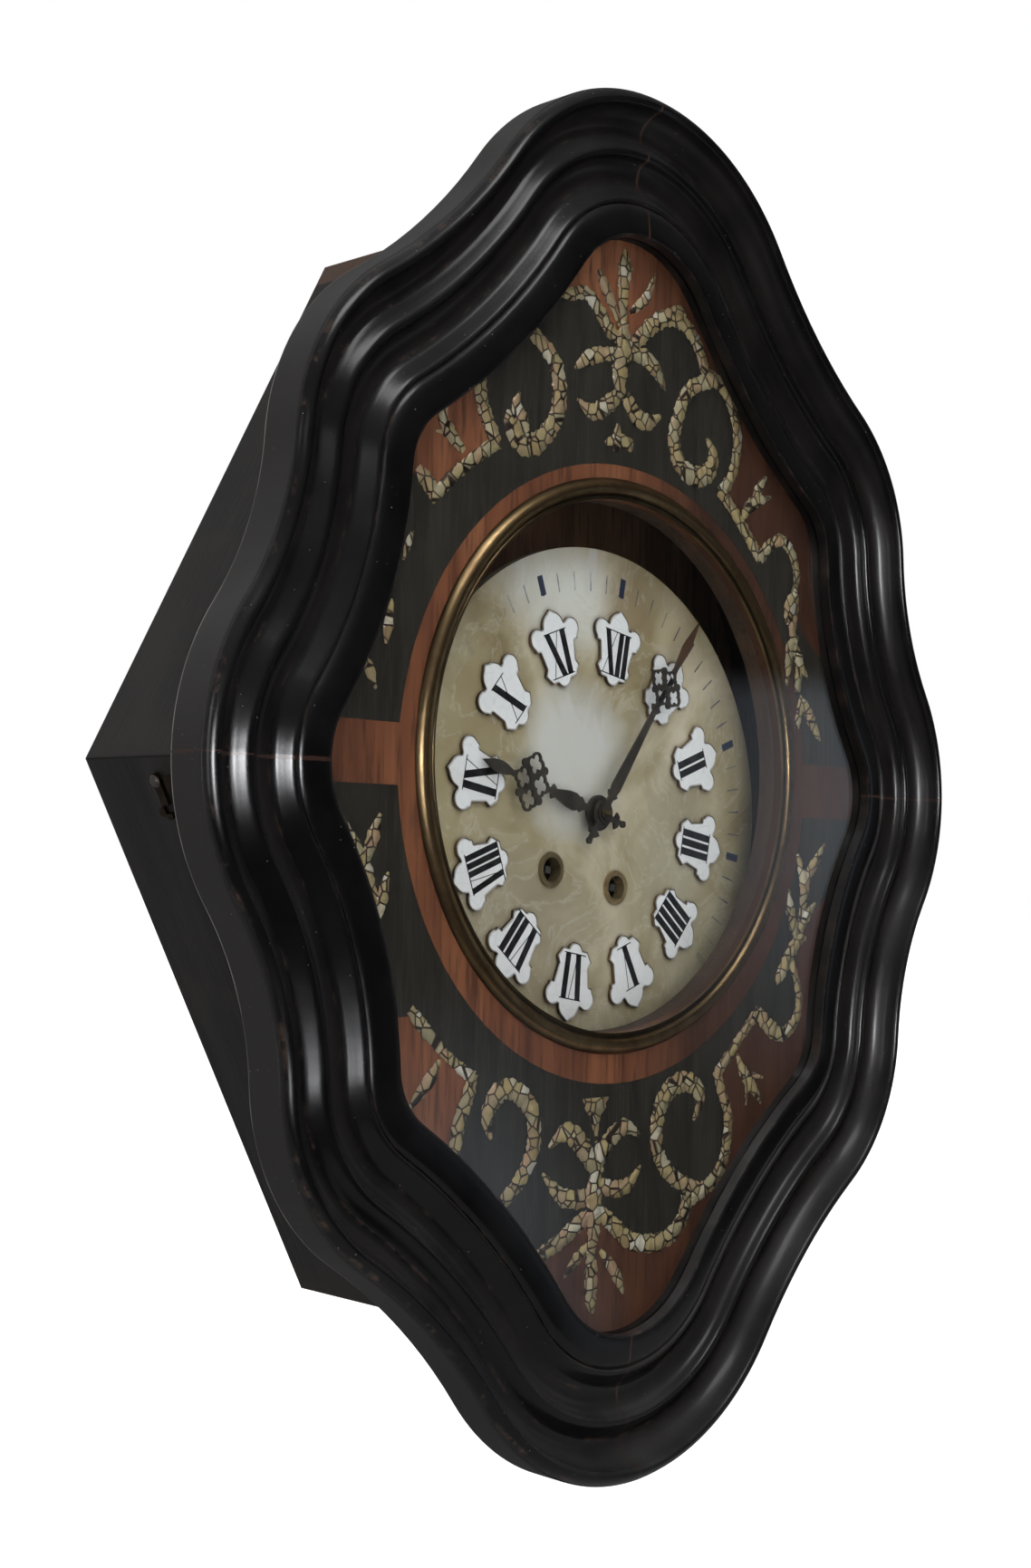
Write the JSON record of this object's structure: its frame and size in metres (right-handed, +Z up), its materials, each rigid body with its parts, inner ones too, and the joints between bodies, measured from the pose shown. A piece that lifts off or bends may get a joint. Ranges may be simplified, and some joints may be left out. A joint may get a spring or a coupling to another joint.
{
  "type": "bulls-eye wall clock",
  "caption": "Wall clock with a lobed, moulded, glazed door frame, inlaid panel, round dial with enamel numeral plaques and pierced hands.",
  "frame": {"origin": "on the wall plane, behind the centre of the lobed frame", "axes": "+X to the right as seen from the front, +Y towards the wall, +Z up"},
  "size_m": [0.51, 0.102, 0.64],
  "materials": {
    "ebonised_frame": "black, polished to a gloss",
    "black_case": "black, satin",
    "inlaid_wood": "black and red-brown lacquer with inlay, polished",
    "bare_wood": "brown, planed",
    "pale_wood": "pale, sawn",
    "clear_glass": "clear",
    "brass": "polished",
    "hinge_brass": "dull",
    "steel": "satin",
    "blued_steel": "blued",
    "iron": "dull",
    "dial_stone": "veined alabaster, satin",
    "plaque_enamel": "white enamel"
  },
  "bodies": {
    "case": {"case_top_board": "black_case", "case_bottom_board": "black_case", "case_upper_left_board": "black_case", "case_lower_left_board": "black_case", "case_upper_right_board": "black_case", "case_lower_right_board": "black_case", "back_board": "bare_wood", "hanging_plate": "iron", "left_seat_batten": "pale_wood", "right_seat_batten": "pale_wood", "movement_screws": "steel", "case_screws": "iron", "hinge_case_leaves": "hinge_brass", "hinge_pins": "steel", "gong_block": "iron", "gong_coil": "blued_steel", "dial": "dial_stone", "dial_plate": "brass", "hour_plaques": "plaque_enamel", "winding_escutcheons": "brass", "front_plate": "brass", "back_plate": "brass", "plate_pillars": "brass", "suspension_cock": "brass"},
    "door": {"frame_upper_right": "ebonised_frame", "frame_lower_right": "ebonised_frame", "frame_lower_left": "ebonised_frame", "frame_upper_left": "ebonised_frame", "glass": "clear_glass", "glass_fillet": "ebonised_frame", "inlaid_panel": "inlaid_wood", "bezel": "brass", "opening_ring": "bare_wood", "hinge_door_leaves": "hinge_brass", "hinge_door_screws": "iron", "latch_catch": "iron"},
    "latch": {"latch_hook": "iron"},
    "minute_hand": {"minute_hand": "blued_steel", "hand_collet": "steel", "cannon_pinion": "steel"},
    "hour_hand": {"hour_hand": "blued_steel", "hour_wheel": "brass"},
    "minute_wheel": {"minute_wheel": "brass"},
    "going_barrel": {"going_barrel": "brass"},
    "going_winding_arbor": {"going_winding_arbor": "steel"},
    "intermediate_wheel": {"intermediate_wheel": "brass"},
    "centre_wheel": {"centre_wheel": "brass"},
    "third_wheel": {"third_wheel": "brass"},
    "escape_wheel": {"escape_wheel": "brass"},
    "anchor": {"anchor_crutch": "steel"},
    "pendulum": {"pendulum_rod": "steel", "pendulum_bob": "brass"},
    "going_click": {"going_click": "steel"},
    "strike_click": {"strike_click": "steel"},
    "strike_barrel": {"strike_barrel": "brass"},
    "strike_winding_arbor": {"strike_winding_arbor": "steel"},
    "strike_second_wheel": {"strike_second_wheel": "brass"},
    "strike_third_wheel": {"strike_third_wheel": "brass"},
    "fly": {"fly": "brass"},
    "hammer": {"hammer": "steel"}
  },
  "joints": [
    {"name": "door_swing", "type": "hinge", "parent": "case", "child": "door", "pos_m": [0.244, -0.076, 0], "axis": [0, 0, 1], "range_deg": [0, 110]},
    {"name": "latch_turn", "type": "hinge", "parent": "case", "child": "latch", "pos_m": [-0.23464, -0.044, -0.00885], "axis": [-0.8847, 0, -0.4662], "range_deg": [0, 90]},
    {"name": "minute_hand_turn", "type": "hinge", "parent": "case", "child": "minute_hand", "pos_m": [0.008, -0.055, -0.0147], "axis": [0, 1, 0], "continuous": true},
    {"name": "minute_wheel_turn", "type": "hinge", "parent": "case", "child": "minute_wheel", "pos_m": [0.0101, -0.047, -0.00278], "axis": [0, 1, 0], "continuous": true},
    {"name": "hour_hand_turn", "type": "hinge", "parent": "case", "child": "hour_hand", "pos_m": [0.008, -0.055, -0.0147], "axis": [0, 1, 0], "continuous": true},
    {"name": "third_wheel_turn", "type": "hinge", "parent": "case", "child": "third_wheel", "pos_m": [0.0168, -0.032, -0.0006], "axis": [0, 1, 0], "continuous": true},
    {"name": "centre_wheel_turn", "type": "hinge", "parent": "case", "child": "centre_wheel", "pos_m": [0.008, -0.032, -0.0147], "axis": [0, 1, 0], "continuous": true},
    {"name": "intermediate_wheel_turn", "type": "hinge", "parent": "case", "child": "intermediate_wheel", "pos_m": [0.01065, -0.026, -0.03161], "axis": [0, 1, 0], "continuous": true},
    {"name": "going_barrel_turn", "type": "hinge", "parent": "case", "child": "going_barrel", "pos_m": [0.02559, -0.032, -0.05029], "axis": [0, 1, 0], "continuous": true},
    {"name": "escape_wheel_turn", "type": "hinge", "parent": "case", "child": "escape_wheel", "pos_m": [0.01304, -0.028, 0.01386], "axis": [0, 1, 0], "continuous": true},
    {"name": "pendulum_swing", "type": "hinge", "parent": "case", "child": "pendulum", "pos_m": [0.01599, -0.0114, 0.0306], "axis": [0, 1, 0], "range_deg": [-3, 3]},
    {"name": "anchor_rock", "type": "hinge", "parent": "case", "child": "anchor", "pos_m": [0.01599, -0.027, 0.0306], "axis": [0, 1, 0], "range_deg": [-3, 3]},
    {"name": "going_winding", "type": "hinge", "parent": "case", "child": "going_winding_arbor", "pos_m": [0.02559, -0.052, -0.05029], "axis": [0, 1, 0], "continuous": true},
    {"name": "strike_winding", "type": "hinge", "parent": "case", "child": "strike_winding_arbor", "pos_m": [-0.0207, -0.052, -0.04213], "axis": [0, 1, 0], "continuous": true},
    {"name": "going_click_lift", "type": "hinge", "parent": "case", "child": "going_click", "pos_m": [0.03371, -0.045, -0.03989], "axis": [0, 1, 0], "range_deg": [0, 8]},
    {"name": "strike_click_lift", "type": "hinge", "parent": "case", "child": "strike_click", "pos_m": [-0.02478, -0.045, -0.02958], "axis": [0, 1, 0], "range_deg": [0, 8]},
    {"name": "strike_third_wheel_turn", "type": "hinge", "parent": "case", "child": "strike_third_wheel", "pos_m": [-0.01498, -0.032, -0.00363], "axis": [0, 1, 0], "continuous": true},
    {"name": "strike_second_wheel_turn", "type": "hinge", "parent": "case", "child": "strike_second_wheel", "pos_m": [-0.02278, -0.026, -0.0183], "axis": [0, 1, 0], "continuous": true},
    {"name": "strike_barrel_turn", "type": "hinge", "parent": "case", "child": "strike_barrel", "pos_m": [-0.0207, -0.032, -0.04213], "axis": [0, 1, 0], "continuous": true},
    {"name": "fly_turn", "type": "hinge", "parent": "case", "child": "fly", "pos_m": [-0.01164, -0.036, 0.00802], "axis": [0, 1, 0], "continuous": true},
    {"name": "hammer_lift", "type": "hinge", "parent": "case", "child": "hammer", "pos_m": [-0.04349, -0.034, -0.03608], "axis": [0, 1, 0], "range_deg": [0, 12]}
  ],
  "couplings": [
    {"joint": "minute_wheel_turn", "follows": "minute_hand_turn", "ratio": -0.33333},
    {"joint": "hour_hand_turn", "follows": "minute_hand_turn", "ratio": 0.083333},
    {"joint": "centre_wheel_turn", "follows": "third_wheel_turn", "ratio": -0.1},
    {"joint": "intermediate_wheel_turn", "follows": "third_wheel_turn", "ratio": 0.013333},
    {"joint": "going_barrel_turn", "follows": "third_wheel_turn", "ratio": -0.0017778},
    {"joint": "escape_wheel_turn", "follows": "third_wheel_turn", "ratio": -12},
    {"joint": "anchor_rock", "follows": "pendulum_swing", "ratio": 1},
    {"joint": "strike_second_wheel_turn", "follows": "strike_third_wheel_turn", "ratio": -0.1},
    {"joint": "strike_barrel_turn", "follows": "strike_third_wheel_turn", "ratio": 0.013333},
    {"joint": "fly_turn", "follows": "strike_third_wheel_turn", "ratio": -9}
  ]
}
